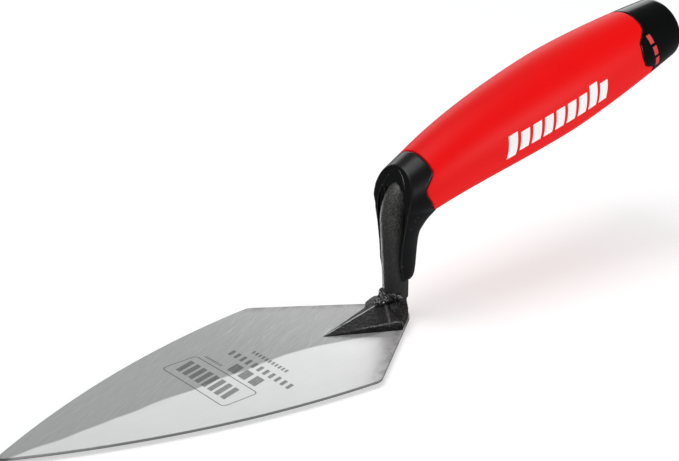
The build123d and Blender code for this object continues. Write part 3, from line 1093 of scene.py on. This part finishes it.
# ---------------------------------------------------------------------------------------------
# Butt cap. A hard black moulding that closes the handle's rear end, with a rounded edge round
# a slightly domed end. It is glossier than the bolster.
# ---------------------------------------------------------------------------------------------

cap_front_lip = ((-0.9 * mm, -2.0 * mm), *reversed(grip_lip))
cap_skin_rows = 30
cap_edge_rows = 10
cap_edge = 2.6 * mm
cap_end_rows = 8
cap_rows = 1 + len(cap_front_lip) + cap_skin_rows + cap_edge_rows + cap_end_rows
cap_dome = 0.25 * mm


def cap_place(angle, row):
    """The cap's skin, from a point inside the handle to the middle of its end."""
    front = follow(rear_joint, angle)
    if row == 0:
        return handle_point(113 * mm, 0.3 * mm)
    row -= 1
    if row < len(cap_front_lip):
        back, lift = cap_front_lip[row]
        return handle_skin(front + back, angle, lift)
    row -= len(cap_front_lip)
    if row < cap_skin_rows:
        start = front + 2 * cap_front_lip[-1][0]
        share = row / (cap_skin_rows - 1)
        return handle_skin(start + (butt_place - cap_edge - start) * share, angle)
    row -= cap_skin_rows
    if row < cap_edge_rows:
        bend = math.radians(90) * (row + 1) / cap_edge_rows
        station = butt_place - cap_edge + (cap_edge - cap_dome) * math.sin(bend)
        return handle_skin(station, angle, -cap_edge * (1 - math.cos(bend)))
    row -= cap_edge_rows
    share = (row + 1) / cap_end_rows
    radius, rise = handle_section(butt_place)
    reach = (radius - cap_edge) * (1 - share)
    station = butt_place - cap_dome * (1 - share) ** 2
    point = handle_point(station, rise + reach * math.cos(angle))
    point.y = -reach * math.sin(angle)
    return point


cap = roll_up("butt_cap_moulding", 144, cap_rows, cap_place)
bpy.ops.object.shade_smooth()

cap_plastic, tree, shader = new_material("gloss_black_plastic", Specular_IOR_Level=0.16)
place = object_place(tree)[0]
spark = speckle(tree, place, 0.4 * mm, 2.0)
cloud = speckle(tree, place, 9 * mm, 2.0)
wipe = streaks(tree, place, 0, 12 * mm, 0.6 * mm)
black = mixed(tree, cloud, (0.0010, 0.0010, 0.0011, 1), (0.0024, 0.0024, 0.0026, 1))
coat(tree, shader, black, scaled(tree, wipe, 0.16, 0.10), spark, 0.12, 0.03 * mm)
cap.data.materials.append(cap_plastic)
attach(cap, "root")
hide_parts("butt_cap")


# ---------------------------------------------------------------------------------------------
# Cap inlays. Three blocks of the grip's red rubber, let into the cap's near side in a slanting
# row, each curved with the cap and standing a little proud.
# ---------------------------------------------------------------------------------------------

inlay_count = 3
inlay_length = 2.3 * mm
inlay_slant = 0.35 * mm
inlay_bevel = 0.18 * mm
inlay_turn = math.radians(16)
inlay_first_turn = math.radians(66)
inlay_turn_step = math.radians(21)
inlay_first_station = 121.2 * mm
inlay_station_step = 1.3 * mm
inlay_proud = 0.12 * mm
inlay_depth = 0.8 * mm
inlay_grid = 10

inlays = []
for index in range(inlay_count):
    station = inlay_first_station + index * inlay_station_step
    turn = inlay_first_turn + index * inlay_turn_step
    bpy.ops.mesh.primitive_grid_add(x_subdivisions=inlay_grid, y_subdivisions=inlay_grid, size=2)
    inlay = start_piece("cap_inlay_%d" % (index + 1))
    extrude((0, 0, -1))
    bpy.ops.object.mode_set(mode="OBJECT")
    for vertex in inlay.data.vertices:
        u, v, deep = vertex.co
        slanted = station + u * inlay_length / 2 + v * inlay_slant
        lift = inlay_proud + deep * inlay_depth
        vertex.co = handle_skin(slanted, turn + v * inlay_turn / 2, lift)
    bpy.ops.object.mode_set(mode="EDIT")
    bpy.ops.mesh.select_all(action="SELECT")
    bpy.ops.mesh.normals_make_consistent(inside=False)
    bpy.ops.mesh.select_all(action="DESELECT")
    bpy.ops.mesh.select_mode(type="EDGE")
    bpy.ops.mesh.edges_select_sharp(sharpness=math.radians(50))
    bpy.ops.mesh.bevel(offset=inlay_bevel, segments=3, affect="EDGES")
    bpy.ops.object.mode_set(mode="OBJECT")
    bpy.ops.object.shade_smooth_by_angle(angle=math.radians(40))
    inlays.append(inlay)

inlay_rubber, tree, shader = new_material("red_inlay_rubber")
place = object_place(tree)[0]
spark = speckle(tree, place, 0.3 * mm, 2.0)
red = mixed(tree, spark, (0.62, 0.02, 0.02, 1), (0.74, 0.05, 0.045, 1))
coat(tree, shader, red, scaled(tree, spark, 0.15, 0.38), spark, 0.3, 0.03 * mm)
for inlay in inlays:
    inlay.data.materials.append(inlay_rubber)
    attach(inlay, "root")
    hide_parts("cap_inlays")
